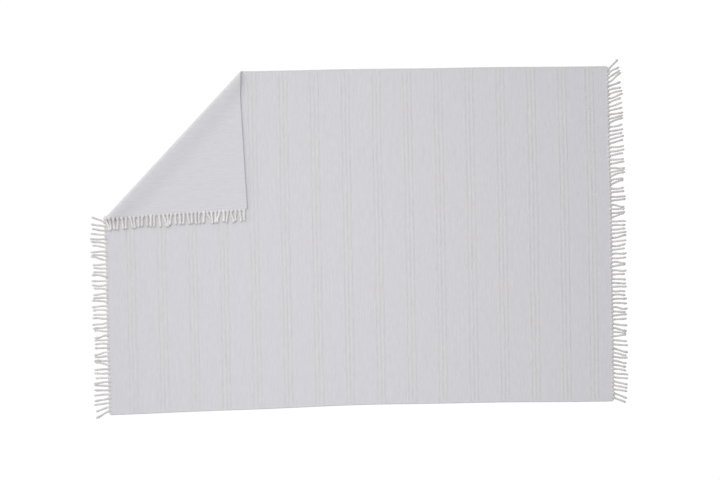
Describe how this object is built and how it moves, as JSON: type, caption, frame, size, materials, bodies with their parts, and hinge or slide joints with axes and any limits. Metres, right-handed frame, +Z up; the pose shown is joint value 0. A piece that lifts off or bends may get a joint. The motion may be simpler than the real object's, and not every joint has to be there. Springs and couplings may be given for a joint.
{
  "type": "bath mat",
  "caption": "Flat-woven cotton bath mat with raised cord ribs across it, knotted fringes on its short ends and a corner that folds back over it.",
  "frame": {"origin": "middle of the woven rectangle's underside, on the floor", "axes": "+X along the mat's length, across the ribs; +Y along its width, towards the side with the folded corner; +Z up from the floor"},
  "size_m": [0.952, 0.6008, 0.0109],
  "materials": {
    "ground_cotton": "matt plain-woven cotton, bleached off-white",
    "rib_cotton": "matt thick cotton cord, off-white",
    "selvedge_cotton": "matt wrapped cotton edge, off-white",
    "binding_cotton": "matt twined cotton edge, off-white",
    "fringe_cotton": "matt twisted cotton cord, ecru"
  },
  "bodies": {
    "mat": {"ground_cloth_field": "ground_cotton", "rib_group_01": "rib_cotton", "rib_group_02": "rib_cotton", "rib_group_03": "rib_cotton", "rib_group_04": "rib_cotton", "rib_group_05": "rib_cotton", "rib_group_06": "rib_cotton", "rib_group_07": "rib_cotton", "rib_group_08": "rib_cotton", "rib_group_09": "rib_cotton", "rib_group_10": "rib_cotton", "rib_group_11": "rib_cotton", "rib_group_12": "rib_cotton", "rib_group_13": "rib_cotton", "rib_group_14": "rib_cotton", "rib_group_15": "rib_cotton", "rib_group_16": "rib_cotton", "selvedge_front": "selvedge_cotton", "selvedge_back": "selvedge_cotton", "end_binding_right": "binding_cotton", "end_binding_left": "binding_cotton", "fringe_right": "fringe_cotton", "fringe_left": "fringe_cotton"},
    "corner_flap": {"ground_cloth_flap": "ground_cotton", "flap_rib_group_01": "rib_cotton", "flap_rib_group_02": "rib_cotton", "flap_rib_group_03": "rib_cotton", "flap_rib_group_04": "rib_cotton", "selvedge_flap": "selvedge_cotton", "end_binding_flap": "binding_cotton", "fringe_flap": "fringe_cotton"}
  },
  "joints": [
    {"name": "corner_unfold", "type": "hinge", "parent": "mat", "child": "corner_flap", "pos_m": [-0.20007, 0.30207, 0.0055], "axis": [-0.6908, -0.7231, 0], "range_deg": [0, 180.98]}
  ]
}
